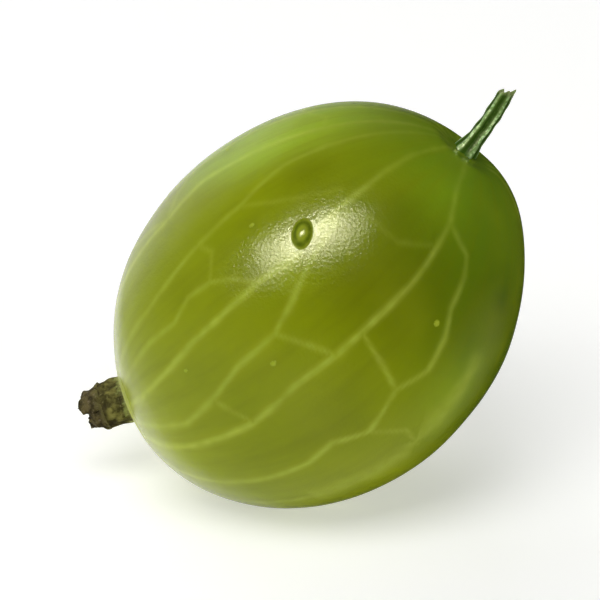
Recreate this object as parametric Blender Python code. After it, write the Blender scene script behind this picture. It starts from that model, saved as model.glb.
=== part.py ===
"""A ripe green gooseberry, as picked: the fruit, the stub of its stalk and the withered flower at its other end.

Metres, +Z up. The origin is the centre of the small flat spot that the fruit rests on. The fruit leans on that
spot with its stalk end up and its flower end down, clear of the surface.
"""

import math

import bmesh
import bpy
from mathutils import Matrix, Vector

# The fruit, an egg-like ellipsoid.
FRUIT_LENGTH = 0.0219  # along its long axis
FRUIT_WIDTH = 0.0183  # across it
LEAN = math.radians(46)  # how far the long axis rises above the surface, towards the stalk
HEADING = math.radians(6)  # where it points seen from above, from +X towards +Y
SINK = 0.00055  # how much of the fruit the flat resting spot takes off
SPOT_EDGE = math.radians(12)  # the spot's edge is shaded sharp, and no other edge of the fruit is
STALK_POLE = (math.radians(2.5), math.radians(135))  # where the stalk stands: angle off the long axis, and round it
FLOWER_POLE = (math.radians(162), math.radians(163))  # the flower sits off the long axis, on the upper side

# Broad swellings and one flatter side: polar angle, angle round the axis, height and spread over the skin.
SWELLINGS = (
    (math.radians(14), math.radians(0), 0.00030, math.radians(14)),
    (math.radians(64), math.radians(180), -0.00022, math.radians(22)),
    (math.radians(122), math.radians(180), 0.00018, math.radians(20)),
    (math.radians(112), math.radians(20), 0.00008, math.radians(24)),
)

# The hollow round the stalk, measured along the skin.
HOLLOW_DEPTH = 0.0003
HOLLOW_FLOOR = 0.0007
HOLLOW_EDGE = 0.0022

# The stalk stub, a ribbed rod with a flared foot and a torn tip.
STALK_LENGTH = 0.0036
STALK_RADIUS = 0.00050
STALK_FOOT_RADIUS = 0.00060
STALK_FLARE = 0.0005  # height of the flare
STALK_TAPER = 0.30  # how much thinner the stalk is at its tip
STALK_RISE = math.radians(54)
STALK_HEADING = math.radians(16)
STALK_BEND = 0.00012  # sideways bow at mid length
STALK_RIBS = 5
STALK_RIB_DEPTH = 0.1  # of the radius
STALK_RIB_START = 0.62  # the wave that makes the ribs starts here at the foot, in radians
STALK_TWIST = 0.6  # and here plus this at the tip
STALK_TEAR = 0.00022  # how far the torn tip's high and low sides are from its middle

# The withered flower: a short cup, five shrivelled sepals on its rim and a dry style inside it.
CUP_HEIGHT = 0.00135
CUP_RADIUS = 0.00118
CUP_WALL = 0.0003
CUP_FLOOR = 0.0004
CUP_LUMP = 0.00006
CUP_TWIST = 4000.0  # how fast the lumps turn with height, radians per metre
# Outline of the cup, up the outside and down inside: radius as a share of the cup's, height as a share of the
# cup's, and how lumpy it is there.
CUP_OUTSIDE = ((1.00, 0.25, 1), (1.02, 0.50, 1), (1.01, 0.78, 1), (0.96, 1.00, 0.5))
CUP_INSIDE = ((0.73, 1.00, 0.5), (0.75, 0.60, 0.5))
FLOWER_RISE = math.radians(-20)
FLOWER_HEADING = math.radians(181)
SEPALS = 5
SEPAL_LENGTHS = (0.00092, 0.00074, 0.00100, 0.00082, 0.00068)
SEPAL_WIDTH = 0.00120
SEPAL_THICKNESS = 0.00030
SEPAL_LEAN_IN = 0.00034  # how far a tip leans towards the middle
SEPAL_NARROWING = 0.45  # how much of its width and thickness a sepal loses at its tip
SEPAL_THINNING = 0.30
SEPAL_CRUMPLE = 0.00005
STYLE_HEIGHT = 0.00125
STYLE_RADIUS = 0.00034
STYLE_OUTLINE = ((1.0, 0.0), (0.8, 0.3), (0.55, 0.65), (0.8, 0.85), (0.5, 1.0))  # shares of radius and height
STYLE_LUMP = 0.12  # of the radius

GAP = 0.0001  # between pieces that meet, all of them tiny

# How finely each piece is divided.
MERIDIANS = 56
PARALLELS = 38
PARALLEL_CROWDING = 0.6  # how much closer the parallels are at both ends
STALK_SIDES = 20
STALK_RINGS = 9
STALK_CROWDING = 1.4  # how much closer the rings are at the foot
CUP_SIDES = 24
SEPAL_SIDES = 8
SEPAL_RINGS = 5
STYLE_SIDES = 10


def clear_scene():
    for thing in list(bpy.data.objects):
        bpy.data.objects.remove(thing, do_unlink=True)


def material(name, colour, roughness):
    made = bpy.data.materials.new(name)
    made.use_nodes = True
    shader = made.node_tree.nodes["Principled BSDF"]
    shader.inputs["Base Color"].default_value = (*colour, 1.0)
    shader.inputs["Roughness"].default_value = roughness
    shader.inputs["Metallic"].default_value = 0.0
    return made


def smooth_step(low, high, value):
    share = min(max((value - low) / (high - low), 0.0), 1.0)
    return share * share * (3 - 2 * share)


def from_angles(polar, around):
    """Unit vector at a polar angle from +Z and an angle round it."""
    return Vector((math.sin(polar) * math.cos(around), math.sin(polar) * math.sin(around), math.cos(polar)))


def facing(rise, heading):
    """Rotation that turns +Z to a direction given by its rise above the surface and its heading."""
    return Matrix.Rotation(heading, 4, "Z") @ Matrix.Rotation(math.pi / 2 - rise, 4, "Y")


def fruit_point(direction):
    """Point of the skin along a unit direction, in the fruit's frame: +Z to the stalk, centre at 0."""
    half_length, half_width = FRUIT_LENGTH / 2, FRUIT_WIDTH / 2
    across = math.hypot(direction.x, direction.y)
    radius = 1 / math.hypot(direction.z / half_length, across / half_width)
    from_stalk = radius * direction.angle(from_angles(*STALK_POLE))
    for polar, around, height, spread in SWELLINGS:
        radius += height * math.exp(-((direction.angle(from_angles(polar, around)) / spread) ** 2))
    radius -= HOLLOW_DEPTH * (1 - smooth_step(HOLLOW_FLOOR, HOLLOW_EDGE, from_stalk))
    return direction * radius


def meridian_direction(around, along):
    """Unit vector on the meridian at angle around, going from the stalk at along = 0 to the flower at 1.

    Each meridian is the arc that a plane through both poles cuts from the sphere, so it stays a meridian
    although the poles don't lie opposite each other.
    """
    stalk, flower = from_angles(*STALK_POLE), from_angles(*FLOWER_POLE)
    middle = (stalk + flower) / 2
    chord = (stalk - flower).normalized()
    first = middle.normalized()
    outward = first * math.cos(around) + chord.cross(first) * math.sin(around)
    offset = middle.dot(outward)
    half_chord = (stalk - flower).length / 2
    start = math.atan2(offset, half_chord)
    angle = start + along * (math.pi - 2 * start)
    arc = chord * math.cos(angle) + outward * math.sin(angle)
    return (middle - outward * offset + arc * math.hypot(half_chord, offset)).normalized()


def lowest(points):
    return min(point.z for point in points)


def closed_mesh(name, rings, first_end=None, last_end=None):
    """Closed mesh through rings of points. An end is a point that its ring closes on, or None for a flat end."""
    shape = bmesh.new()
    rows = [[shape.verts.new(point) for point in ring] for ring in rings]
    count = len(rows[0])
    for lower, upper in zip(rows, rows[1:]):
        for i in range(count):
            j = (i + 1) % count
            shape.faces.new((lower[i], lower[j], upper[j], upper[i]))
    for row, end in ((rows[0][::-1], first_end), (rows[-1], last_end)):
        if end is None:
            shape.faces.new(row)
            continue
        tip = shape.verts.new(end)
        for i in range(count):
            shape.faces.new((row[i], row[(i + 1) % count], tip))
    bmesh.ops.recalc_face_normals(shape, faces=shape.faces)
    made = bpy.data.meshes.new(name)
    shape.to_mesh(made)
    shape.free()
    return made


def add(name, mesh, look, parent=None, sharp_from=math.radians(50)):
    mesh.materials.append(look)
    mesh.shade_smooth()
    mesh.set_sharp_from_angle(angle=sharp_from)
    thing = bpy.data.objects.new(name, mesh)
    bpy.context.collection.objects.link(thing)
    thing.parent = parent
    return thing


def add_frame(name, matrix):
    """Empty that carries the pieces of one end of the fruit."""
    frame = bpy.data.objects.new(name, None)
    frame.empty_display_size = 0.002
    bpy.context.collection.objects.link(frame)
    frame.matrix_world = matrix
    return frame


def along_meridian(step):
    """Steps of a meridian, closer together towards both ends, where the stalk and the flower stand."""
    share = step / PARALLELS
    return share - PARALLEL_CROWDING * math.sin(2 * math.pi * share) / (2 * math.pi)


def fruit_rings():
    return [
        [
            fruit_point(meridian_direction(2 * math.pi * i / MERIDIANS, along_meridian(step)))
            for i in range(MERIDIANS)
        ]
        for step in range(1, PARALLELS)
    ]


def fruit_placement(rings):
    """Turns the fruit as it leans and sets its resting spot's centre on the origin."""
    turn = facing(LEAN, HEADING)
    turned = [turn @ point for ring in rings for point in ring]
    half_length, half_width = FRUIT_LENGTH / 2, FRUIT_WIDTH / 2
    down = turn.to_3x3().transposed() @ Vector((0, 0, -1))
    reach = Vector((down.x * half_width**2, down.y * half_width**2, down.z * half_length**2))
    touch = turn @ (reach / math.sqrt(down.dot(reach)))
    return Matrix.Translation((-touch.x, -touch.y, -lowest(turned) - SINK)) @ turn


def cut_resting_spot(mesh):
    """Takes off what lies under z = 0 and closes the cut with one flat face."""
    shape = bmesh.new()
    shape.from_mesh(mesh)
    for vertex in shape.verts:
        if abs(vertex.co.z) < GAP:
            vertex.co.z = 0.0
    everything = shape.verts[:] + shape.edges[:] + shape.faces[:]
    cut = bmesh.ops.bisect_plane(
        shape, geom=everything, dist=1e-7, plane_co=(0, 0, 0), plane_no=(0, 0, 1), clear_inner=True
    )
    rim = [piece for piece in cut["geom_cut"] if isinstance(piece, bmesh.types.BMEdge)]
    bmesh.ops.contextual_create(shape, geom=rim)
    bmesh.ops.recalc_face_normals(shape, faces=shape.faces)
    shape.to_mesh(mesh)
    shape.free()


def add_fruit(placement, rings, look):
    ends = [fruit_point(from_angles(*pole)) for pole in (STALK_POLE, FLOWER_POLE)]
    mesh = closed_mesh("berry", rings, *ends)
    mesh.transform(placement)
    cut_resting_spot(mesh)
    add("berry", mesh, look, sharp_from=SPOT_EDGE)


def stalk_rings():
    rings = []
    for step in range(STALK_RINGS):
        share = (step / (STALK_RINGS - 1)) ** STALK_CROWDING
        height = GAP + share * (STALK_LENGTH - GAP)
        flare = (1 - smooth_step(0, STALK_FLARE, height)) * (STALK_FOOT_RADIUS - STALK_RADIUS)
        radius = STALK_RADIUS * (1 - STALK_TAPER * share) + flare
        bow = STALK_BEND * math.sin(math.pi * share)
        ring = []
        for i in range(STALK_SIDES):
            turn = 2 * math.pi * i / STALK_SIDES
            wave = math.cos(STALK_RIBS * turn + STALK_RIB_START + STALK_TWIST * share)
            ribbed = radius * (1 + STALK_RIB_DEPTH * wave)
            torn = STALK_TEAR * share**6 * math.cos(2 * turn)
            ring.append(Vector((bow + ribbed * math.cos(turn), ribbed * math.sin(turn), height + torn)))
        rings.append(ring)
    return rings


def add_stalk(placement, look):
    foot = placement @ fruit_point(from_angles(*STALK_POLE))
    frame = add_frame("stalk_end", Matrix.Translation(foot) @ facing(STALK_RISE, STALK_HEADING))
    foot_tilt = facing(STALK_RISE, STALK_HEADING).inverted() @ facing(LEAN, HEADING)
    rings = stalk_rings()
    for ring in rings[:2]:
        level = ring[0].z
        for point in ring:
            point.xyz = foot_tilt @ Vector((point.x, point.y, level))
    add("stem", closed_mesh("stem", rings), look, frame)


def cup_lump(around, height):
    """Two waves round the cup: one of three broad lumps that turn with height, and one of seven small ones."""
    return CUP_LUMP * (math.cos(3 * around + CUP_TWIST * height) + 0.6 * math.cos(7 * around + 1.3))


def cup_ring(radius, height, lumpy):
    ring = []
    for i in range(CUP_SIDES):
        around = 2 * math.pi * i / CUP_SIDES
        reach = radius + lumpy * cup_lump(around, height)
        ring.append(Vector((reach * math.cos(around), reach * math.sin(around), height)))
    return ring


def add_cup(look, frame):
    inner = CUP_RADIUS - CUP_WALL
    outline = [(0.97 * CUP_RADIUS, GAP, 0.3)]
    outline += [(width * CUP_RADIUS, share * CUP_HEIGHT, lumpy) for width, share, lumpy in CUP_OUTSIDE + CUP_INSIDE]
    outline += [(0.8 * inner, GAP + CUP_FLOOR, 0.5)]
    add("calyx_tube", closed_mesh("calyx_tube", [cup_ring(*row) for row in outline]), look, frame)


def sepal_rings(around, length):
    """Cross-sections of one shrivelled sepal, which stands on the cup's rim and leans in towards its tip."""
    rim_radius = CUP_RADIUS - CUP_WALL / 2
    rings = []
    for step in range(SEPAL_RINGS):
        share = step / (SEPAL_RINGS - 1)
        middle = rim_radius - SEPAL_LEAN_IN * share**1.5
        half_width = SEPAL_WIDTH / 2 * (1 - SEPAL_NARROWING * share**2)
        half_thickness = SEPAL_THICKNESS / 2 * (1 - SEPAL_THINNING * share)
        crumple = SEPAL_CRUMPLE * math.sin(9 * share + 2 * around)
        ring = []
        for i in range(SEPAL_SIDES):
            turn = 2 * math.pi * i / SEPAL_SIDES
            reach = middle + crumple + half_thickness * math.sin(turn)
            angle = around + half_width * math.cos(turn) / rim_radius
            height = CUP_HEIGHT + GAP + length * share
            ring.append(Vector((reach * math.cos(angle), reach * math.sin(angle), height)))
        rings.append(ring)
    return rings


def add_sepals(look, frame):
    for i in range(SEPALS):
        name = f"sepal_{i + 1}"
        rings = sepal_rings(2 * math.pi * i / SEPALS, SEPAL_LENGTHS[i])
        add(name, closed_mesh(name, rings), look, frame)


def add_style(look, frame):
    foot = 2 * GAP + CUP_FLOOR
    rings = []
    for width, share in STYLE_OUTLINE:
        ring = []
        for i in range(STYLE_SIDES):
            turn = 2 * math.pi * i / STYLE_SIDES
            reach = STYLE_RADIUS * width * (1 + STYLE_LUMP * math.cos(3 * turn + 5 * share))
            height = foot + STYLE_HEIGHT * share
            ring.append(Vector((reach * math.cos(turn), reach * math.sin(turn), height)))
        rings.append(ring)
    add("dried_style", closed_mesh("dried_style", rings), look, frame)


def add_flower(placement, tube_look, sepal_look, style_look):
    foot = placement @ fruit_point(from_angles(*FLOWER_POLE))
    frame = add_frame("flower_end", Matrix.Translation(foot) @ facing(FLOWER_RISE, FLOWER_HEADING))
    add_cup(tube_look, frame)
    add_sepals(sepal_look, frame)
    add_style(style_look, frame)


def main():
    clear_scene()
    skin = material("skin", (0.19, 0.24, 0.01), 0.3)
    green_stalk = material("stalk", (0.07, 0.12, 0.01), 0.45)
    withered = material("withered_cup", (0.12, 0.10, 0.03), 0.8)
    dark = material("withered_tip", (0.05, 0.03, 0.01), 0.85)
    pale = material("dry_style", (0.30, 0.22, 0.11), 0.9)
    rings = fruit_rings()
    placement = fruit_placement(rings)
    add_fruit(placement, rings, skin)
    add_stalk(placement, green_stalk)
    add_flower(placement, withered, dark, pale)


main()
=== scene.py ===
"""Looks of a ripe green gooseberry: its glossy translucent skin with pale veins, its ribbed stalk stub and
its withered flower. Metres, +Z up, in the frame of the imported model."""

import math

import bpy
import numpy as np
from mathutils import Matrix, Vector, kdtree, noise


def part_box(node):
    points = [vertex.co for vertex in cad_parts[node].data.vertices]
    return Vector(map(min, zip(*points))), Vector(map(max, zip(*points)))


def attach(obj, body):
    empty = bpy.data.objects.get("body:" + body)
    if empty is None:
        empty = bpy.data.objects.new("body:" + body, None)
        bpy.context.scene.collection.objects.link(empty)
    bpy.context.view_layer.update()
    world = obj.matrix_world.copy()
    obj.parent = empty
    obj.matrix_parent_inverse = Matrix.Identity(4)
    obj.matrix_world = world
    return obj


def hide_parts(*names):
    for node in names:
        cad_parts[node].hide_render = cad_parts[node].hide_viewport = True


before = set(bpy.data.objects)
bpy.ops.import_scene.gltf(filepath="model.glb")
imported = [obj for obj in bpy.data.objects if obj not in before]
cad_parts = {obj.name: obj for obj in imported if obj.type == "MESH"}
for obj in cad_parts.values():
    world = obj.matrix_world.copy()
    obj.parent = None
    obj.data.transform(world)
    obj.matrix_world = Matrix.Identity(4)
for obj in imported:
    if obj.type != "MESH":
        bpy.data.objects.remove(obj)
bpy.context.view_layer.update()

# ----------------------------------------------------------------------------------------------------------
# The fruit's shape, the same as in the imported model.

FRUIT_LENGTH = 0.0219
FRUIT_WIDTH = 0.0183
LEAN = math.radians(46)
HEADING = math.radians(6)
STALK_POLE = (math.radians(2.5), math.radians(135))  # angle off +Z, and angle round it
FLOWER_POLE = (math.radians(162), math.radians(163))
SWELLINGS = (  # angle off +Z, angle round it, height and spread
    (math.radians(14), math.radians(0), 0.00030, math.radians(14)),
    (math.radians(64), math.radians(180), -0.00022, math.radians(22)),
    (math.radians(122), math.radians(180), 0.00018, math.radians(20)),
    (math.radians(112), math.radians(20), 0.00008, math.radians(24)),
)
HOLLOW_DEPTH = 0.0003
HOLLOW_FLOOR = 0.0007
HOLLOW_EDGE = 0.0022
FLAT_SPOT_SOFTNESS = 0.00012

STALK_LENGTH = 0.0036
STALK_RADIUS = 0.00050
STALK_FOOT_RADIUS = 0.00060
STALK_RISE = math.radians(54)
STALK_HEADING = math.radians(16)
STALK_BEND = 0.00012
STALK_ROOT = 0.0002  # how far the stub goes into the fruit

CUP_HEIGHT = 0.00135
CUP_RADIUS = 0.00118
CUP_WALL = 0.0003
CUP_FLOOR = 0.0005
CUP_ROOT = 0.00025
FLOWER_RISE = math.radians(-20)
FLOWER_HEADING = math.radians(181)
SEPAL_LENGTHS = (0.00092, 0.00074, 0.00100, 0.00082, 0.00068)
SEPAL_WIDTH = 0.00120
SEPAL_THICKNESS = 0.00030
SEPAL_LEAN_IN = 0.00034
SEPAL_SUNK = 0.00012  # how far a sepal starts below the cup's rim
SEPAL_OVERLAP = 0.00022  # what that adds to its length

MM = 0.001
rng = np.random.default_rng(7)


def smooth_step(low, high, value):
    share = np.clip((value - low) / (high - low), 0.0, 1.0)
    return share * share * (3 - 2 * share)


def from_angles(polar, around):
    return np.array([math.sin(polar) * math.cos(around), math.sin(polar) * math.sin(around), math.cos(polar)])


def facing(rise, heading):
    """Rotation that turns +Z to a direction given by its rise above the surface and its heading."""
    turn = Matrix.Rotation(heading, 3, "Z") @ Matrix.Rotation(math.pi / 2 - rise, 3, "Y")
    return np.array(turn)


def angle_between(directions, towards):
    towards = np.array(towards) / np.linalg.norm(towards)
    return np.arccos(np.clip(directions @ towards, -1.0, 1.0))


def angle_to(directions, pole):
    return angle_between(directions, from_angles(*pole))


def skin_points(directions):
    """Points of the skin along unit directions, in the fruit's frame: +Z to the stalk, centre at 0."""
    across = np.hypot(directions[:, 0], directions[:, 1])
    radius = 1 / np.hypot(directions[:, 2] / (FRUIT_LENGTH / 2), across / (FRUIT_WIDTH / 2))
    from_stalk = radius * angle_to(directions, STALK_POLE)
    for polar, around, height, spread in SWELLINGS:
        radius = radius + height * np.exp(-((angle_to(directions, (polar, around)) / spread) ** 2))
    radius = radius - HOLLOW_DEPTH * (1 - smooth_step(HOLLOW_FLOOR, HOLLOW_EDGE, from_stalk))
    return directions * radius[:, None]


def meridian_directions(around, along):
    """Unit vectors on meridians at angles around, going from the stalk at along = 0 to the flower at 1."""
    stalk, flower = from_angles(*STALK_POLE), from_angles(*FLOWER_POLE)
    middle = (stalk + flower) / 2
    chord = stalk - flower
    half_chord = np.linalg.norm(chord) / 2
    chord = chord / (2 * half_chord)
    first = middle / np.linalg.norm(middle)
    outward = np.cos(around)[:, None] * first + np.sin(around)[:, None] * np.cross(chord, first)
    offset = outward @ middle
    start = np.arctan2(offset, half_chord)
    angle = start + along * (math.pi - 2 * start)
    arc = np.cos(angle)[:, None] * chord + np.sin(angle)[:, None] * outward
    points = middle - outward * offset[:, None] + arc * np.hypot(half_chord, offset)[:, None]
    return points / np.linalg.norm(points, axis=1)[:, None]


def fruit_place():
    """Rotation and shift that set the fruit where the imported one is."""
    turn = facing(LEAN, HEADING)
    grid = np.linspace(0, 1, 121)
    around, along = np.meshgrid(2 * math.pi * grid, grid)
    points = skin_points(meridian_directions(around.ravel(), along.ravel())) @ turn.T
    high = np.array(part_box("berry")[1])
    return turn, high - points.max(axis=0)


FRUIT_TURN, FRUIT_CENTRE = fruit_place()


def placed(points):
    """Points of the fruit's frame, in the world. The underside rests on a flat spot with a soft edge."""
    world = points @ FRUIT_TURN.T + FRUIT_CENTRE
    world[:, 2] = (world[:, 2] + np.hypot(world[:, 2], FLAT_SPOT_SOFTNESS)) / 2
    return world


# ----------------------------------------------------------------------------------------------------------
# Veins. Each has a strength, a half width in millimetres, and a line of points: angle round in degrees, and
# way from the stalk at 0 to the flower at 1. The near side's are laid one by one, the far side's are random.

NEAR_VEINS = (
    (0.45, 0.21, ((42, 0.04), (42, 0.185), (43, 0.345), (50, 0.45), (53, 0.555), (58, 0.715), (60, 0.97))),
    (0.95, 0.23, ((66, 0.04), (66, 0.14), (71, 0.24), (73, 0.30), (79, 0.415), (78, 0.49), (81, 0.65),
                  (85, 0.755), (89, 0.865), (91, 0.97))),
    (0.95, 0.24, ((101, 0.04), (103, 0.11), (110, 0.175), (111, 0.275), (110, 0.38), (110, 0.455),
                  (110, 0.54), (114, 0.64), (115, 0.725), (118, 0.835), (119, 0.97))),
    (0.80, 0.22, ((111, 0.175), (119, 0.187), (125, 0.195), (128, 0.225), (129, 0.275), (133, 0.315),
                  (135, 0.37), (131, 0.425), (136, 0.505), (132, 0.56), (135, 0.615), (136, 0.695),
                  (138, 0.84), (139, 0.97))),
    (0.50, 0.85, ((151.5, 0.325), (153, 0.395), (152, 0.455), (153.5, 0.515), (152, 0.58), (152.5, 0.66))),
    (0.60, 0.26, ((152.5, 0.66), (153, 0.71), (156, 0.84), (157, 0.97))),
    (0.70, 0.21, ((77, 0.32), (83, 0.395), (89, 0.455), (94, 0.515), (96, 0.605), (101, 0.68), (106, 0.755),
                  (105, 0.895))),
    (0.72, 0.19, ((94, 0.515), (104, 0.475), (110, 0.455))),
    (0.66, 0.19, ((111, 0.40), (121, 0.41), (131, 0.425))),
    (0.50, 0.19, ((78, 0.49), (72, 0.525), (68, 0.565), (67, 0.62), (71, 0.67), (70, 0.745), (72, 0.875))),
    (0.32, 0.18, ((68, 0.565), (59, 0.535), (53, 0.555))),
    (0.38, 0.18, ((136, 0.505), (145, 0.465), (155, 0.475))),
    (0.36, 0.18, ((101, 0.68), (108, 0.66), (114, 0.64))),
    (0.28, 0.18, ((73, 0.30), (83, 0.27), (97, 0.26), (109, 0.22))),
    (0.28, 0.18, ((50, 0.45), (57, 0.39), (67, 0.28))),
)
FAR_ANGLES = range(181, 393, 23)
FAR_POINTS = 9
FAR_BEND = 2.6  # degrees
FAR_SHIFT = 0.012  # of a point along its vein
FAR_HALF_WIDTH = 0.24
LINK_HALF_WIDTH = 0.19
LINK_STARTS = (2, 4, 6)  # the points of a far vein that a link to the next one starts from
VEIN_ENDS = (0.04, 0.97)
VEIN_STEPS = 60  # points between two of a vein's own
EDGE_WANDER, COARSE_PATCHES, FINE_PATCHES = 900, 420, 2100  # how many to a metre


def far_veins():
    """Veins of the side away from the camera: wandering meridians, and links between neighbours."""
    veins, rows = [], []
    for angle in FAR_ANGLES:
        bend = rng.normal(0, FAR_BEND, FAR_POINTS).cumsum()
        bend -= np.linspace(0, bend[-1], FAR_POINTS)
        shifts = rng.normal(0, FAR_SHIFT, FAR_POINTS - 2)
        steps = np.linspace(*VEIN_ENDS, FAR_POINTS) + np.concatenate([[0], shifts, [0]])
        rows.append([(angle + float(turn), float(step)) for turn, step in zip(bend, steps)])
        veins.append((float(rng.uniform(0.6, 0.85)), FAR_HALF_WIDTH, rows[-1]))
    for one, other in zip(rows, rows[1:]):
        for start in LINK_STARTS:
            first, last = one[start], other[start + int(rng.integers(-1, 2))]
            middle = ((first[0] + last[0]) / 2, (first[1] + last[1]) / 2 + float(rng.normal(0, 0.03)))
            veins.append((float(rng.uniform(0.3, 0.6)), LINK_HALF_WIDTH, (first, middle, last)))
    return veins


def vein_lines():
    """Close-set points along the veins, on the skin, with each point's strength and half width."""
    points, marks = [], []
    for strength, half_width, route in (*NEAR_VEINS, *far_veins()):
        for (turn0, step0), (turn1, step1) in zip(route, route[1:]):
            share = np.linspace(0, 1, VEIN_STEPS)
            around = np.radians(turn0 + (turn1 - turn0) * share)
            along = step0 + (step1 - step0) * share
            line = skin_points(meridian_directions(around, along))
            points.append(line)
            marks += [(strength, half_width)] * len(line)
    return np.concatenate(points), np.array(marks)


def vein_mask(points):
    """How much of a vein each point of the skin shows: 0 is none, and about 1 the most."""
    lines, marks = vein_lines()
    tree = kdtree.KDTree(len(lines))
    for i, point in enumerate(lines):
        tree.insert(point, i)
    tree.balance()
    mask = np.zeros(len(points))
    for i, point in enumerate(points):
        _, nearest, distance = tree.find(point)
        strength, half_width = marks[nearest]
        where = Vector(point)
        wander = 0.77 + 0.30 * noise.noise(where * EDGE_WANDER)
        patchy = 0.93 + 0.45 * noise.noise(where * COARSE_PATCHES) + 0.36 * noise.noise(where * FINE_PATCHES)
        mask[i] = strength * patchy * math.exp(-((distance / (half_width * wander * MM)) ** 2))
    return mask


# ----------------------------------------------------------------------------------------------------------
# Meshes


def ring_faces(ids):
    """Four-sided faces between neighbouring rows of point numbers, each row a closed ring."""
    beside = np.roll(ids, -1, axis=1)
    return np.stack([ids[:-1], beside[:-1], beside[1:], ids[1:]], axis=-1).reshape(-1, 4).tolist()


def grid_mesh(name, rows, first_tip=None, last_tip=None):
    """Mesh through rows of points, each row a closed ring. A tip closes the first or the last row."""
    count = rows.shape[1]
    points = rows.reshape(-1, 3)
    ids = np.arange(len(points)).reshape(rows.shape[:2])
    faces = ring_faces(ids)
    for tip, ring, flip in ((first_tip, ids[0], True), (last_tip, ids[-1], False)):
        if tip is None:
            continue
        points = np.concatenate([points, [tip]])
        top = len(points) - 1
        for i in range(count):
            pair = (int(ring[i]), int(ring[(i + 1) % count]))
            faces.append([pair[1], pair[0], top] if flip else [pair[0], pair[1], top])
    mesh = bpy.data.meshes.new(name)
    mesh.from_pydata(points.tolist(), [], faces)
    mesh.shade_smooth()
    mesh.update()
    return mesh


def put_value(mesh, name, values):
    layer = mesh.attributes.new(name, "FLOAT", "POINT")
    layer.data.foreach_set("value", np.asarray(values, np.float32))


def put_vector(mesh, name, values):
    layer = mesh.attributes.new(name, "FLOAT_VECTOR", "POINT")
    layer.data.foreach_set("vector", np.asarray(values, np.float32).ravel())


def add_piece(name, mesh, material, slot, *nodes):
    mesh.materials.append(material)
    piece = bpy.data.objects.new(name, mesh)
    bpy.context.collection.objects.link(piece)
    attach(piece, "root")
    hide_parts(*nodes)


def rough_noise(points, scale, seed, octaves=1):
    """Perlin noise at each point, each octave twice as fine and half as strong as the one before."""
    shift = Vector((seed * 7.3, seed * 1.9, seed * 3.1))
    total = np.zeros(len(points))
    for octave in range(octaves):
        factor = scale * 2**octave
        total += [noise.noise(Vector(point) * factor + shift) / 2**octave for point in points]
    return total


# ----------------------------------------------------------------------------------------------------------
# Materials


class Look:
    """A node material, built from its Principled shader backwards."""

    def __init__(self, name):
        self.material = bpy.data.materials.new(name)
        self.material.use_nodes = True
        self.nodes = self.material.node_tree.nodes
        self.links = self.material.node_tree.links
        self.shader = self.nodes["Principled BSDF"]

    def plug(self, value, socket):
        """Link a socket into an input, or set the input. A colour is three numbers."""
        if isinstance(value, bpy.types.NodeSocket):
            self.links.new(value, socket)
        elif socket.type == "RGBA":
            socket.default_value = (*value, 1.0)
        else:
            socket.default_value = value

    def fill(self, node, sockets):
        for key, value in sockets.items():
            self.plug(value, node.inputs[key])

    def set(self, **sockets):
        self.fill(self.shader, {key.replace("_", " "): value for key, value in sockets.items()})

    def add(self, kind, sockets=None, **settings):
        node = self.nodes.new(kind)
        for key, value in settings.items():
            setattr(node, key, value)
        self.fill(node, sockets or {})
        return node

    def place(self):
        return self.add("ShaderNodeTexCoord").outputs["Object"]

    def value(self, name):
        return self.add("ShaderNodeAttribute", attribute_name=name).outputs["Fac"]

    def vector(self, name):
        return self.add("ShaderNodeAttribute", attribute_name=name).outputs["Vector"]

    def noise(self, where, scale, detail=2.0, roughness=0.5):
        sockets = {"Vector": where, "Scale": scale, "Detail": detail, "Roughness": roughness}
        return self.add("ShaderNodeTexNoise", sockets).outputs["Fac"]

    def ramp(self, value, low, high, start=0.0, end=1.0):
        sockets = {"Value": value, "From Min": low, "From Max": high, "To Min": start, "To Max": end}
        return self.add("ShaderNodeMapRange", sockets, interpolation_type="SMOOTHSTEP").outputs["Result"]

    def math(self, operation, first, second):
        return self.add("ShaderNodeMath", {0: first, 1: second}, operation=operation).outputs[0]

    def mix(self, share, first, second, blend="MIX"):
        """One colour over another, by a share from 0 to 1."""
        node = self.add("ShaderNodeMix", {0: share}, data_type="RGBA", blend_type=blend)
        inputs = [socket for socket in node.inputs if socket.type == "RGBA"]
        self.plug(first, inputs[0])
        self.plug(second, inputs[1])
        return next(socket for socket in node.outputs if socket.type == "RGBA")

    def grey(self, value):
        return self.add("ShaderNodeCombineXYZ", {0: value, 1: value, 2: value}).outputs[0]

    def bump(self, height, strength, distance, normal=None):
        sockets = {"Height": height, "Strength": strength, "Distance": distance}
        if normal is not None:
            sockets["Normal"] = normal
        return self.add("ShaderNodeBump", sockets).outputs["Normal"]


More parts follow.
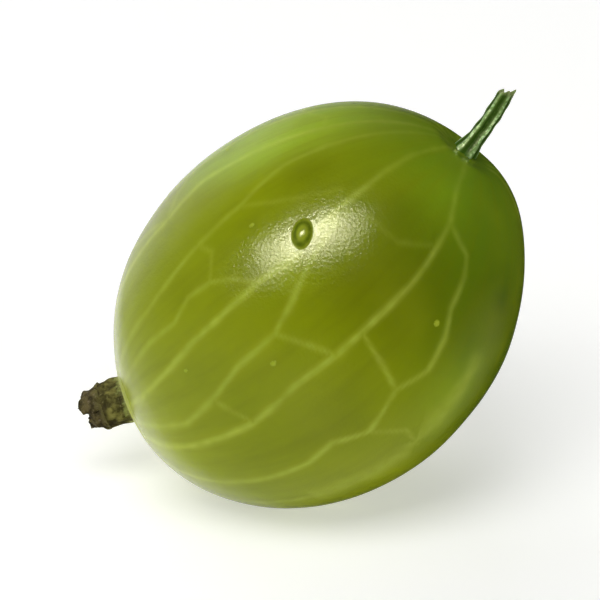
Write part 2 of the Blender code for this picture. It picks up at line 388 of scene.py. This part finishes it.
def skin_look():
    """Glossy skin over translucent flesh: darker green to one side by painted shade, lighter on the crown by
    painted light, greener at the stalk, paler at the flower, with streaks, clouds, and tones that are partly
    painted light and shade and partly darker patches of the flesh. The veins are faintest near the stalk."""
    look = Look("berry_skin")
    place = look.place()
    vein, along = look.value("vein"), look.value("along")
    side, lit_crown = look.value("side"), look.value("lit_crown")
    flow = look.vector("flow")

    # painted shade: darker green towards the shaded side
    colour = look.mix(look.ramp(side, 0.30, 0.90), (0.240, 0.290, 0.003), (0.105, 0.160, 0.001))
    # painted light: a paler green band over the crown
    colour = look.mix(look.ramp(lit_crown, 0.74, 0.92, 0.0, 0.60), colour, (0.30, 0.46, 0.025))
    colour = look.mix(look.ramp(along, 0.60, 1.0, 0.0, 0.35), colour, (0.36, 0.40, 0.05))
    colour = look.mix(look.ramp(along, 0.36, 0.0, 0.0, 0.75), colour, (0.14, 0.25, 0.011))
    streaks = look.noise(flow, 5.0, 3.0, 0.6)
    colour = look.mix(look.ramp(streaks, 0.40, 0.75, 0.0, 0.30), colour, (0.17, 0.19, 0.001))
    # painted light and shade, with darker patches of the flesh, multiply the colour
    light_and_patch_tone = look.grey(look.math("POWER", 2.0, look.value("light_and_patch_tone")))
    colour = look.mix(1.0, colour, light_and_patch_tone, "MULTIPLY")
    clouds = look.noise(place, 170.0, 2.0)
    colour = look.mix(look.ramp(clouds, 0.42, 0.75, 0.0, 0.30), colour, (0.33, 0.38, 0.010))
    colour = look.mix(look.ramp(along, 0.86, 0.96, 0.0, 0.85), colour, (0.50, 0.545, 0.20))
    shown = look.math("MULTIPLY", vein, look.ramp(along, 0.05, 0.42, 0.16, 0.50))
    shown = look.math("MULTIPLY", shown, look.ramp(along, 0.98, 0.82, 0.35, 1.0))
    colour = look.mix(shown, colour, (0.57, 0.65, 0.085))

    fine = look.bump(look.noise(place, 6000.0, 3.0, 0.6), 1.0, 0.0000165)
    swell = look.bump(look.noise(place, 700.0, 2.0), 0.10, 0.0002, fine)
    gloss = look.ramp(look.noise(place, 1400.0), 0.3, 0.7, 0.17, 0.22)
    dull_end = look.ramp(along, 0.88, 0.955, 0.0, 0.45)
    look.set(
        Base_Color=colour,
        Roughness=look.math("ADD", gloss, dull_end),
        IOR=1.36,
        Specular_IOR_Level=look.ramp(along, 0.86, 0.955, 0.5, 0.12),
        Normal=swell,
        Subsurface_Weight=0.85,
        Subsurface_Radius=(1.0, 1.1, 0.25),
        Subsurface_Scale=0.0022,
    )
    return look.material


def gland_look():
    """Green ring, darkest at its foot, where a dark band is painted shade."""
    look = Look("gland_skin")
    place, rise = look.place(), look.value("rise")
    # painted shade: a dark band round the foot, where the bell rises from the skin
    colour = look.mix(look.ramp(rise, 0.0, 0.30), (0.22, 0.27, 0.005), (0.085, 0.125, 0.001))
    colour = look.mix(look.ramp(rise, 0.40, 0.80), colour, (0.245, 0.300, 0.014))
    colour = look.mix(look.ramp(look.noise(place, 4000.0), 0.4, 0.7, 0.0, 0.3), colour, (0.30, 0.34, 0.03))
    look.set(Base_Color=colour, Roughness=look.ramp(rise, 0.2, 0.8, 0.22, 0.17), IOR=1.38)
    return look.material


def lenticel_look():
    """Pale dull dots."""
    look = Look("lenticel_cork")
    place, rise = look.place(), look.value("rise")
    colour = look.mix(look.ramp(rise, 0.1, 0.9), (0.21, 0.27, 0.004), (0.33, 0.39, 0.02))
    colour = look.mix(look.ramp(look.noise(place, 9000.0), 0.4, 0.7, 0.0, 0.5), colour, (0.40, 0.46, 0.05))
    look.set(Base_Color=colour, Roughness=look.ramp(look.noise(place, 9000.0), 0.3, 0.7, 0.60, 0.75))
    look.set(Specular_IOR_Level=0.05)
    return look.material


def stalk_look():
    """Dark green with lighter ridges, a painted highlight along their crests and painted glints in beads on
    them, and a dry pale tip.
    """
    look = Look("green_stalk")
    place, ridge, along = look.place(), look.value("ridge"), look.value("along")
    fibres = look.noise(look.vector("flow"), 9.0, 3.0, 0.6)
    colour = look.mix(look.ramp(ridge, 0.25, 1.0), (0.027, 0.064, 0.004), (0.095, 0.180, 0.016))
    colour = look.mix(look.ramp(fibres, 0.42, 0.68, 0.0, 0.30), colour, (0.11, 0.20, 0.03))
    lit = look.ramp(along, 1.0, 0.55, 0.30, 1.0)
    # painted highlight along the ridges' crests, fading towards the tip
    crest_highlight = look.ramp(ridge, 0.68, 1.0, 0.0, 0.75)
    colour = look.mix(look.math("MULTIPLY", crest_highlight, lit), colour, (0.25, 0.42, 0.12))
    # painted glints: bright beads on the ridges
    bead_glints = look.ramp(look.noise(place, 4800.0, 2.0), 0.46, 0.60)
    bead_glints = look.math("MULTIPLY", bead_glints, look.ramp(ridge, 0.70, 0.98))
    colour = look.mix(look.math("MULTIPLY", bead_glints, lit), colour, (0.62, 0.82, 0.40))
    colour = look.mix(look.ramp(along, 0.14, 0.0, 0.0, 0.7), colour, (0.06, 0.15, 0.008))
    colour = look.mix(look.ramp(along, 0.93, 1.0, 0.0, 0.8), colour, (0.22, 0.26, 0.10))
    bump = look.bump(look.noise(place, 7000.0, 3.0), 0.8, 0.00004)
    look.set(
        Base_Color=colour,
        Roughness=look.ramp(fibres, 0.3, 0.7, 0.34, 0.46),
        IOR=1.38,
        Specular_IOR_Level=look.ramp(ridge, 0.3, 0.9, 0.05, 0.7),
        Normal=bump,
        Subsurface_Weight=0.2,
        Subsurface_Radius=(0.5, 1.0, 0.2),
        Subsurface_Scale=0.0004,
    )
    return look.material


def cup_look():
    """Withered brown and olive, darker in its dents by painted shade, green at the foot, where it goes over
    into the skin with a ragged edge.
    """
    look = Look("withered_cup")
    place, along, lump = look.place(), look.value("along"), look.value("lump")
    patches = look.noise(place, 2300.0, 3.0, 0.6)
    colour = look.mix(look.ramp(patches, 0.38, 0.66), (0.046, 0.041, 0.003), (0.285, 0.265, 0.060))
    # painted shade: darker in the dents between the lumps and ribs
    colour = look.mix(look.ramp(lump, -0.5, 0.7, 0.75, 0.0), colour, (0.028, 0.021, 0.003))
    ragged = look.math("ADD", along, look.ramp(look.noise(place, 2600.0, 3.0, 0.6), 0.25, 0.75, -0.16, 0.16))
    colour = look.mix(look.ramp(ragged, 0.38, 0.10, 0.0, 0.95), colour, (0.36, 0.395, 0.110))
    colour = look.mix(look.ramp(along, 0.72, 1.0, 0.0, 0.65), colour, (0.04, 0.026, 0.007))
    flecks = look.noise(place, 5200.0, 2.0, 0.7)
    colour = look.mix(look.ramp(flecks, 0.60, 0.72, 0.0, 0.45), colour, (0.27, 0.245, 0.09))
    bump = look.bump(look.noise(place, 6000.0, 4.0, 0.65), 0.9, 0.00010)
    look.set(Base_Color=colour, Roughness=look.ramp(along, 0.10, 0.35, 0.45, 0.85), Normal=bump)
    look.set(Specular_IOR_Level=0.15)
    return look.material


def sepal_look():
    """Dark brown with grey flecks."""
    look = Look("withered_sepal")
    place, along = look.place(), look.value("along")
    patches = look.noise(place, 2600.0, 3.0, 0.6)
    colour = look.mix(look.ramp(patches, 0.36, 0.66), (0.024, 0.017, 0.002), (0.112, 0.088, 0.030))
    colour = look.mix(look.ramp(along, 0.35, 0.0, 0.0, 0.7), colour, (0.14, 0.125, 0.035))
    flecks = look.noise(place, 6500.0, 2.0, 0.7)
    colour = look.mix(look.ramp(flecks, 0.58, 0.70, 0.0, 0.40), colour, (0.24, 0.18, 0.13))
    bump = look.bump(look.noise(place, 7000.0, 4.0, 0.65), 0.7, 0.00008)
    look.set(Base_Color=colour, Roughness=look.ramp(flecks, 0.3, 0.7, 0.9, 0.6), Normal=bump)
    look.set(Specular_IOR_Level=0.15)
    return look.material


def style_look():
    """Straw, with dark tips."""
    look = Look("dry_style")
    place, along = look.place(), look.value("along")
    patches = look.noise(place, 3500.0, 3.0, 0.6)
    colour = look.mix(look.ramp(patches, 0.36, 0.66), (0.20, 0.14, 0.06), (0.48, 0.42, 0.27))
    colour = look.mix(look.ramp(along, 0.8, 1.0, 0.0, 0.7), colour, (0.12, 0.07, 0.03))
    look.set(Base_Color=colour, Roughness=0.85, Normal=look.bump(patches, 0.5, 0.00005))
    return look.material


# ----------------------------------------------------------------------------------------------------------
# The fruit

AROUND_STEPS = 384
ALONG_STEPS = 249
GLAND = (math.radians(73.4), 0.377, 0.00058, 0.00088, 0.00018)  # angle round, way along, half sizes, height
GLAND_TURN = math.radians(47)  # of its long side, from the meridian
GLAND_SIDES, GLAND_RINGS = 64, 28
SHADED_SIDE = np.array([0.99, -0.05, 0.10])  # painted shade: the skin is painted from yellow-green to dark green this way
LIT_CROWN = np.array([-0.25, 0.35, 0.90])  # painted light: the paler green patch on top, where light shines through the skin
LIGHT_AND_PATCH_TONES = (  # lighter and darker places on the skin, partly painted light and shade (a lit underside, shaded sides) and partly darker patches of the flesh: direction, spread in degrees, how many times doubled
    ((0.37, -0.78, 0.50), 17, -0.55),
    ((0.56, -0.33, 0.76), 11, 0.40),
    ((0.70, -0.70, -0.12), 14, 0.60),
    ((0.62, -0.70, -0.36), 9, 0.20),
    ((0.89, -0.43, 0.18), 11, -0.50),
    ((0.05, -0.98, -0.18), 12, -0.32),
    ((-0.22, 0.00, 0.97), 24, 0.28),
    ((-0.08, -0.32, 0.94), 9, -0.32),
    ((0.33, -0.50, 0.80), 9, -0.28),
    ((-0.13, -0.80, 0.59), 6, 0.30),
    ((-0.98, -0.20, 0.05), 15, 0.20),
    ((-0.72, -0.46, -0.52), 18, 0.38),
    ((-0.12, -0.44, -0.89), 14, 0.36),
)
LENTICELS = ((88, 0.696), (101, 0.548), (127, 0.306), (60, 0.445))  # on the near side: angle round, way along
FAR_LENTICELS = 22
DOT_SIDES, DOT_RINGS = 14, 5
LENTICEL_RADIUS = 0.00018
LENTICEL_HEIGHT = 0.000018
DOME_SINK = 0.000003  # how far a dome's rim lies under the skin


def fruit_grid():
    """Angles round and ways along of the skin's points, closer together at the two ends."""
    steps = np.arange(1, ALONG_STEPS) / ALONG_STEPS
    steps = steps - 0.35 * np.sin(2 * math.pi * steps) / (2 * math.pi)
    turns = 2 * math.pi * np.arange(AROUND_STEPS) / AROUND_STEPS
    around, along = np.meshgrid(turns, steps)
    return around.ravel(), along.ravel()


def uneven_skin(directions):
    """Points of the skin with its slight unevenness."""
    relief = rough_noise(directions, 2.2, 3) * 0.00005 + rough_noise(directions, 6.0, 5) * 0.000012
    return skin_points(directions) + directions * relief[:, None]


def add_fruit():
    around, along = fruit_grid()
    directions = meridian_directions(around, along)
    points = uneven_skin(directions)
    veins = vein_mask(points)
    world = placed(points)
    tips = placed(uneven_skin(np.array([from_angles(*STALK_POLE), from_angles(*FLOWER_POLE)])))
    mesh = grid_mesh("berry_skin", world.reshape(ALONG_STEPS - 1, AROUND_STEPS, 3), *tips)
    put_value(mesh, "vein", [*veins, 0, 0])
    put_value(mesh, "along", [*along, 0, 1])
    out = np.concatenate([world, tips]) - FRUIT_CENTRE
    out = out / np.linalg.norm(out, axis=1)[:, None]
    put_value(mesh, "side", out @ SHADED_SIDE)
    put_value(mesh, "lit_crown", out @ LIT_CROWN)
    light_and_patch_tone = np.zeros(len(out))
    for towards, spread, amount in LIGHT_AND_PATCH_TONES:
        light_and_patch_tone = light_and_patch_tone + amount * np.exp(-((angle_between(out, towards) / math.radians(spread)) ** 2))
    put_value(mesh, "light_and_patch_tone", light_and_patch_tone)
    flow = np.stack([2.2 * np.cos(around), 2.2 * np.sin(around), 0.9 * along], axis=1)
    put_vector(mesh, "flow", [*flow, (0, 0, 0), (0, 0, 0.9)])
    add_piece("berry_skin", mesh, skin_look(), "berry_skin", "berry")


def dome_points(around, along, across, length, height, sides, rings, spin=0.0):
    """Low oval bell on the skin, from its sunk rim to its top, and how far up it each point is."""
    middle, ahead = meridian_directions(np.array([around, around]), np.array([along, along + 0.01]))
    forward = ahead - middle
    forward = forward / np.linalg.norm(forward)
    sideways = np.cross(middle, forward)
    forward, sideways = (math.cos(spin) * forward + math.sin(spin) * sideways,
                         math.cos(spin) * sideways - math.sin(spin) * forward)
    turn = 2 * math.pi * np.arange(sides)[None, :, None] / sides
    reach = np.linspace(1, 0, rings + 1)[:-1, None, None]
    offsets = across * np.cos(turn) * sideways + length * np.sin(turn) * forward
    foot = skin_points(middle[None, :])[0]
    directions = (foot + reach * offsets).reshape(-1, 3)
    directions = np.concatenate([directions, [foot]])
    directions = directions / np.linalg.norm(directions, axis=1)[:, None]
    rise = np.append(np.repeat((1 - reach.ravel() ** 2) ** 2, sides), 1.0)
    world = placed(uneven_skin(directions) + directions * (height * rise - DOME_SINK)[:, None])
    return world[:-1].reshape(rings, sides, 3), world[-1], rise


def add_gland():
    around, along, across, length, height = GLAND
    rows, tip, rise = dome_points(around, along, across, length, height, GLAND_SIDES, GLAND_RINGS, GLAND_TURN)
    mesh = grid_mesh("skin_gland", rows, None, tip)
    put_value(mesh, "rise", rise)
    add_piece("skin_gland", mesh, gland_look(), "berry_skin")


def add_lenticels():
    """Pale dots in the skin, in one mesh."""
    spots = [(math.radians(turn), step) for turn, step in LENTICELS]
    for _ in range(FAR_LENTICELS):
        spots.append((math.radians(rng.uniform(169, 396)), float(rng.uniform(0.2, 0.85))))
    points, faces, rises = [], [], []
    for turn, step in spots:
        across = LENTICEL_RADIUS * rng.uniform(0.8, 1.3)
        length = across * rng.uniform(1, 1.4)
        rows, tip, rise = dome_points(turn, step, across, length, LENTICEL_HEIGHT, DOT_SIDES, DOT_RINGS)
        dome = grid_mesh("dome", rows, None, tip)
        faces += [[len(points) + corner for corner in face.vertices] for face in dome.polygons]
        points += [tuple(vertex.co) for vertex in dome.vertices]
        rises += list(rise)
        bpy.data.meshes.remove(dome)
    mesh = bpy.data.meshes.new("lenticels")
    mesh.from_pydata(points, [], faces)
    mesh.shade_smooth()
    put_value(mesh, "rise", rises)
    add_piece("lenticels", mesh, lenticel_look(), "berry_skin")


# ----------------------------------------------------------------------------------------------------------
# The stalk stub

STALK_SIDES = 72
STALK_ROWS = 90
STALK_RIBS = 5
STALK_FLARE = 0.00032
STALK_TAPER = 0.30
TORN_HEIGHT = 0.00020
RIM_DROP, PIT_DROP = 0.00004, 0.00012  # how far the torn tip sinks to its rim and to its middle
STALK_ROUGHNESS = 0.00002


def end_frame(pole, rise, heading):
    """Rotation and foot of what grows from the skin at a pole."""
    foot = placed(skin_points(from_angles(*pole)[None, :]))[0]
    return facing(rise, heading), foot


def add_stalk():
    turn, foot = end_frame(STALK_POLE, STALK_RISE, STALK_HEADING)
    share = np.linspace(0, 1, STALK_ROWS)[:, None]
    angle = 2 * math.pi * np.arange(STALK_SIDES)[None, :] / STALK_SIDES
    height = -STALK_ROOT + share * (STALK_LENGTH + STALK_ROOT)
    flare = np.exp(-((np.maximum(height, 0) / STALK_FLARE) ** 1.4)) * (STALK_FOOT_RADIUS - STALK_RADIUS)
    knobs = 0.05 * np.sin(9 * share + 1.0) + 0.04 * np.sin(23 * share + 2 * angle)
    radius = STALK_RADIUS * (1 - STALK_TAPER * share) * (1 + knobs) + flare
    wave = STALK_RIBS * angle + 0.62 + 0.6 * share
    ridge = (0.5 + 0.5 * np.cos(wave + 0.35 * np.sin(5 * share))) ** 0.8
    radius = radius * (0.80 + 0.27 * ridge)
    tears = np.cos(angle + 0.5) + 0.45 * np.cos(3 * angle) + 0.3 * np.cos(7 * angle)
    torn = TORN_HEIGHT * share**14 * tears
    bow = STALK_BEND * np.sin(math.pi * share)
    x, y = radius * np.cos(angle) + bow, radius * np.sin(angle)
    z = height + torn + 0 * angle
    rows = np.stack([x + 0 * z, y + 0 * z, z], axis=-1)
    middle = rows[-1].mean(axis=0)
    rim = middle + (rows[-1] - middle) * 0.80 + np.array([0, 0, -RIM_DROP])
    pit = middle + (rows[-1] - middle) * 0.45 + np.array([0, 0, -PIT_DROP])
    rows = np.concatenate([rows, rim[None], pit[None]])
    points = rows.reshape(-1, 3)
    points = points + STALK_ROUGHNESS * np.stack([rough_noise(points, 3000, 1 + k) for k in range(3)], axis=1)
    world = points @ turn.T + foot
    tips = np.array([rows[0].mean(axis=0), rows[-1].mean(axis=0)]) @ turn.T + foot
    mesh = grid_mesh("stalk_stub", world.reshape(-1, STALK_SIDES, 3), *tips)
    extra = np.ones((2, STALK_SIDES))
    ridges = np.concatenate([ridge + 0 * z, 0.4 * extra])
    alongs = np.concatenate([share + 0 * z, extra])
    put_value(mesh, "ridge", [*ridges.ravel(), 0, 0])
    put_value(mesh, "along", [*alongs.ravel(), 0, 1])
    turned = wave / STALK_RIBS
    flow = np.stack([1.6 * np.cos(turned), 1.6 * np.sin(turned), 0.8 * share + 0 * angle], axis=-1)
    flow = np.concatenate([flow, flow[-2:]]).reshape(-1, 3)
    put_vector(mesh, "flow", [*flow, (0, 0, 0), (0, 0, 1)])
    add_piece("stalk_stub", mesh, stalk_look(), "green_stalk", "stem")


# ----------------------------------------------------------------------------------------------------------
# The withered flower

CUP_SIDES = 120
CUP_OUTER_ROWS, CUP_INNER_ROWS = 44, 26
CUP_LUMPS = 0.00022
CUP_RAGS = 0.00008
SEPAL_SIDES, SEPAL_ROWS = 40, 34
SEPAL_CURL = 0.00007
SEPAL_FOLD = 0.00005
SEPAL_CRUMPLE = 0.00013
SEPAL_ROUNDING = 0.86  # where a sepal starts to narrow to its tip
SEPAL_TIP = 0.15  # how long that end is, as a share of the sepal
THREADS = 17
STYLE_RADIUS = 0.00009
THREAD_SIDES, THREAD_ROWS = 8, 16
THREAD_WAVE = 0.00007
THREAD_SUNK = 0.00005  # how far the threads start below the cup's floor
FLOWER_TURN, FLOWER_FOOT = end_frame(FLOWER_POLE, FLOWER_RISE, FLOWER_HEADING)


def add_flower_piece(name, rows, along, material, slot, node, lumps=None):
    """Piece of the flower through rows of points, closed by the middle of its first and of its last row."""
    tips = np.array([rows[0].mean(axis=0), rows[-1].mean(axis=0)]) @ FLOWER_TURN.T + FLOWER_FOOT
    mesh = grid_mesh(name, rows @ FLOWER_TURN.T + FLOWER_FOOT, *tips)
    put_value(mesh, "along", [*along.ravel(), float(along[0].mean()), float(along[-1].mean())])
    if lumps is not None:
        put_value(mesh, "lump", [*lumps.ravel(), 0, 0])
    add_piece(name, mesh, material, slot, node)


def cup_rows():
    """Heights, radii, shares of the lumps and ways along: up the outer wall, and down inside to the floor."""
    outer = np.linspace(0, 1, CUP_OUTER_ROWS)
    inner = np.linspace(0, 1, CUP_INNER_ROWS)
    up = -CUP_ROOT + outer * (CUP_HEIGHT + CUP_ROOT)
    down = CUP_HEIGHT - inner * (CUP_HEIGHT - CUP_FLOOR)
    height = np.concatenate([up, down])
    body = CUP_RADIUS * (0.97 + 0.06 * np.sin(math.pi * outer) - 0.04 * outer + 0.05 * np.exp(-outer / 0.10))
    inside = (CUP_RADIUS - CUP_WALL) * (1 - 0.55 * inner**3)
    radius = np.concatenate([body, inside])
    wall = np.concatenate([np.ones_like(outer), 0.45 * np.ones_like(inner)])
    along = np.concatenate([outer, np.ones_like(inner)])
    return height[:, None], radius[:, None], wall[:, None], along[:, None]


def add_cup(material):
    height, radius, wall, along = cup_rows()
    angle = 2 * math.pi * np.arange(CUP_SIDES)[None, :] / CUP_SIDES
    ribs = np.cos(5 * angle + 0.4) * 0.5 + np.cos(10 * angle + 1.1) * 0.35 + np.cos(17 * angle) * 0.15
    flat = np.zeros((len(height), CUP_SIDES))
    shape = np.stack([np.cos(angle) + flat, np.sin(angle) + flat, height / MM + flat], axis=-1)
    dents = rough_noise((shape * (1.6, 1.6, 1.2)).reshape(-1, 3), 1.0, 2, 3).reshape(flat.shape)
    lumps = 0.55 * dents + 0.35 * ribs * (0.3 + 0.7 * along)
    reach = radius + CUP_LUMPS * lumps * wall * (0.35 + 0.65 * smooth_step(0.1, 0.4, along))
    x, y = reach * np.cos(angle), reach * np.sin(angle)
    ragged = CUP_RAGS * (np.cos(5 * angle) + 0.6 * np.cos(13 * angle)) * along**6
    rows = np.stack([x, y, height + ragged], axis=-1)
    add_flower_piece("flower_cup", rows, along + flat, material, "withered_cup", "calyx_tube", lumps)


def add_sepal(number, material):
    around = 2 * math.pi * number / len(SEPAL_LENGTHS)
    rim_radius = CUP_RADIUS - CUP_WALL / 2
    share = np.linspace(0, 1, SEPAL_ROWS)[:, None]
    turn = 2 * math.pi * np.arange(SEPAL_SIDES)[None, :] / SEPAL_SIDES
    middle = rim_radius - SEPAL_LEAN_IN * share**1.5
    half_width = SEPAL_WIDTH / 2 * (1.08 - 0.20 * share**2) * (1 + 0.08 * np.sin(11 * share + number))
    past = np.maximum(share - SEPAL_ROUNDING, 0) / SEPAL_TIP
    half_width = half_width * np.sqrt(np.clip(1 - past**2, 0.12, 1))
    half_thick = SEPAL_THICKNESS / 2 * (1 - 0.25 * share)
    across = np.cos(turn) * np.abs(np.cos(turn)) ** -0.25
    curl = SEPAL_CURL * np.cos(2.2 * across * (1 + share) + number * 1.7) * share
    fold = SEPAL_FOLD * np.sin(9 * share + 2 * around) + curl
    reach = middle + fold + half_thick * np.sin(turn)
    angle = around + half_width * across / rim_radius + 0.10 * share * math.sin(number * 2.1)
    length = SEPAL_LENGTHS[number] + SEPAL_OVERLAP
    height = CUP_HEIGHT - SEPAL_SUNK + length * share * (1 - 0.10 * np.abs(across) * share)
    rows = np.stack([reach * np.cos(angle), reach * np.sin(angle), height + 0 * reach], axis=-1)
    points = rows.reshape(-1, 3)
    crumple = np.stack([rough_noise(points, 1700, 11 + 3 * number + k, 3) for k in range(3)], axis=1)
    along = share + 0 * turn
    points = points + SEPAL_CRUMPLE * crumple * (0.25 + 0.75 * along).reshape(-1, 1)
    rows = points.reshape(SEPAL_ROWS, SEPAL_SIDES, 3)
    name, node = f"withered_sepal_{number + 1}", f"sepal_{number + 1}"
    add_flower_piece(name, rows, along, material, "withered_sepal", node)


def add_style(material):
    """Dry threads of the style, which is the thickest, and of the stamens, standing in the cup."""
    all_points, all_faces, all_along = [], [], []
    share = np.linspace(0, 1, THREAD_ROWS)
    angle = 2 * math.pi * np.arange(THREAD_SIDES) / THREAD_SIDES
    across = np.stack([np.cos(angle), np.sin(angle), 0 * angle], axis=-1)
    for thread in range(THREADS):
        thick = STYLE_RADIUS if thread == 0 else rng.uniform(0.00004, 0.00007)
        start = rng.normal(0, 0.00016, 2)
        lean = rng.normal(0, 0.00034, 2)
        tall = rng.uniform(0.0008, 0.00135)
        wave = rng.uniform(0, 6.28, 2)
        x = start[0] + lean[0] * share**1.3 + THREAD_WAVE * np.sin(7 * share + wave[0])
        y = start[1] + lean[1] * share**1.3 + THREAD_WAVE * np.sin(6 * share + wave[1])
        z = CUP_FLOOR - THREAD_SUNK + tall * share
        radius = thick * (1 - 0.35 * share + 0.9 * np.exp(-(((share - 0.93) / 0.06) ** 2)))
        rings = np.stack([x, y, z], axis=-1)[:, None] + radius[:, None, None] * across
        ids = np.arange(THREAD_ROWS * THREAD_SIDES).reshape(THREAD_ROWS, THREAD_SIDES) + len(all_along)
        all_faces += ring_faces(ids)
        all_faces += [ids[0][::-1].tolist(), ids[-1].tolist()]
        all_points.append(rings.reshape(-1, 3))
        all_along += np.repeat(share, THREAD_SIDES).tolist()
    points = np.concatenate(all_points) @ FLOWER_TURN.T + FLOWER_FOOT
    mesh = bpy.data.meshes.new("dry_threads")
    mesh.from_pydata(points.tolist(), [], all_faces)
    mesh.shade_smooth()
    put_value(mesh, "along", all_along)
    add_piece("dry_threads", mesh, material, "dry_style", "dried_style")


# ----------------------------------------------------------------------------------------------------------
# Stage, light and camera

WALL_DARK = 0.01
WALLS = (  # direction, cosines of the angles off it where a patch ends and where it is full, how bright
    ((-0.45, -0.40, -0.80), 0.30, 0.85, 0.42),
    ((-0.42, 0.62, -0.66), 0.88, 1.00, 0.85),
    ((-0.70, 0.60, -0.35), 0.80, 1.00, 0.42),
    ((-1.00, 0.00, 0.00), 0.60, 1.00, 0.14),
    ((0.70, 0.05, -0.70), 0.80, 0.98, 0.22),
    ((-0.64, 0.74, 0.14), 0.86, 1.00, 0.80),
    ((-0.25, 0.94, -0.15), 0.90, 1.00, 0.35),
    ((-0.20, 0.88, -0.43), 0.93, 1.00, 0.55),
    ((-0.20, 0.85, 0.50), 0.80, 1.00, 0.15),
)
VIEW_RISE = math.radians(27)
VIEW_DISTANCE = 0.5
VIEW_WIDTH = 0.0295  # how much the picture shows across, at the fruit
VIEW_SHIFT_RIGHT = 0.00094  # how far the fruit's centre sits right of the picture's
VIEW_SHIFT_UP = 0.00026  # how far it sits below the picture's
SENSOR_WIDTH = 36.0
FLOOR_HALF = 1.5
SOFT_LAMPS = (  # name, direction, distance, sides, watts, direction of the first side
    ("overhead", (-0.22, -0.45, 0.86), 0.30, (0.26, 0.16), 0.59, (0.90, 0.18, 0.41)),
    ("fill", (0.75, -0.62, 0.22), 0.45, (0.35, 0.35), 0.55, (0, 1, 0)),
    ("rim", (-0.30, 0.70, 0.58), 0.40, (0.35, 0.35), 0.52, (0, 0, 1)),
    ("side", (-0.90, 0.38, 0.14), 0.40, (0.30, 0.25), 0.58, (0, 1, 0)),
)
GLOSS_LAMPS = (  # the same
    ("glint", (-0.285, -0.435, 0.856), 0.30, (0.15, 0.050), 0.93, (0.90, 0.18, 0.41)),
    ("gleam", (-0.300, -0.503, 0.825), 0.30, (0.27, 0.105), 1.60, (0.93, 0.02, 0.08)),
)
WARM = (1.0, 0.97, 0.66)


def add_floor():
    corners = [(x * FLOOR_HALF, y * FLOOR_HALF, 0) for x, y in ((-1, -1), (1, -1), (1, 1), (-1, 1))]
    mesh = bpy.data.meshes.new("floor")
    mesh.from_pydata(corners, [], [(0, 1, 2, 3)])
    look = Look("floor_paint")
    look.set(Base_Color=(0.75, 0.75, 0.74), Roughness=0.9, Specular_IOR_Level=0.1)
    look.set(Emission_Color=(1.0, 1.0, 0.99), Emission_Strength=0.45)
    mesh.materials.append(look.material)
    floor = bpy.data.objects.new("floor", mesh)
    bpy.context.collection.objects.link(floor)
    floor.visible_glossy = False


def add_light(name, towards, distance, size, power, along, colour=(1, 1, 1)):
    """Rectangular lamp in a direction from the fruit, facing it, with its first side along a direction."""
    data = bpy.data.lights.new(name, "AREA")
    data.shape = "RECTANGLE"
    data.size, data.size_y = size
    data.energy = power
    data.color = colour
    lamp = bpy.data.objects.new(name, data)
    bpy.context.collection.objects.link(lamp)
    back = Vector(towards).normalized()
    side = Vector(along)
    side = (side - back * side.dot(back)).normalized()
    turn = Matrix((side, back.cross(side), back)).transposed().to_4x4()
    lamp.matrix_world = Matrix.Translation(Vector(FRUIT_CENTRE) + back * distance) @ turn
    return lamp


def add_lamps():
    """Soft lamps that aren't mirrored, and two that show only in the gloss."""
    for lamp in SOFT_LAMPS:
        add_light(*lamp).visible_glossy = False
    for lamp in GLOSS_LAMPS:
        add_light(*lamp, WARM).visible_diffuse = False


def add_world():
    """Soft studio light: broad pale patches where the studio's white walls are, and dark elsewhere."""
    world = bpy.data.worlds.new("studio")
    world.use_nodes = True
    nodes, links = world.node_tree.nodes, world.node_tree.links
    background = nodes["Background"]
    background.inputs["Color"].default_value = (1.0, 1.0, 1.0, 1.0)
    heading = nodes.new("ShaderNodeTexCoord")
    total = nodes.new("ShaderNodeValue")
    total.outputs[0].default_value = WALL_DARK
    for towards, edge, full, level in WALLS:
        facing_wall = nodes.new("ShaderNodeVectorMath")
        facing_wall.operation = "DOT_PRODUCT"
        facing_wall.inputs[1].default_value = Vector(towards).normalized()
        patch = nodes.new("ShaderNodeMapRange")
        patch.interpolation_type = "SMOOTHSTEP"
        for key, value in {"From Min": edge, "From Max": full, "To Min": 0.0, "To Max": level}.items():
            patch.inputs[key].default_value = value
        both = nodes.new("ShaderNodeMath")
        links.new(heading.outputs["Generated"], facing_wall.inputs[0])
        links.new(facing_wall.outputs["Value"], patch.inputs["Value"])
        links.new(total.outputs[0], both.inputs[0])
        links.new(patch.outputs["Result"], both.inputs[1])
        total = both
    links.new(total.outputs[0], background.inputs["Strength"])
    bpy.context.scene.world = world


def add_camera():
    back = Vector((0.0, -math.cos(VIEW_RISE), math.sin(VIEW_RISE)))
    up = Vector((0.0, math.sin(VIEW_RISE), math.cos(VIEW_RISE)))
    target = Vector(FRUIT_CENTRE) - Vector((VIEW_SHIFT_RIGHT, 0, 0)) + up * VIEW_SHIFT_UP
    data = bpy.data.cameras.new("camera")
    data.sensor_width = SENSOR_WIDTH
    data.lens = SENSOR_WIDTH * VIEW_DISTANCE / VIEW_WIDTH
    data.clip_start, data.clip_end = 0.05, 10.0
    camera = bpy.data.objects.new("camera", data)
    bpy.context.collection.objects.link(camera)
    camera.location = target + back * VIEW_DISTANCE
    camera.rotation_mode = "QUATERNION"
    camera.rotation_quaternion = (-back).to_track_quat("-Z", "Y")
    bpy.context.scene.camera = camera


def main():
    bpy.context.scene.view_settings.view_transform = "Standard"
    add_fruit()
    add_gland()
    add_lenticels()
    add_stalk()
    add_cup(cup_look())
    sepals = sepal_look()
    for number in range(len(SEPAL_LENGTHS)):
        add_sepal(number, sepals)
    add_style(style_look())
    add_floor()
    add_world()
    add_lamps()
    add_camera()


main()
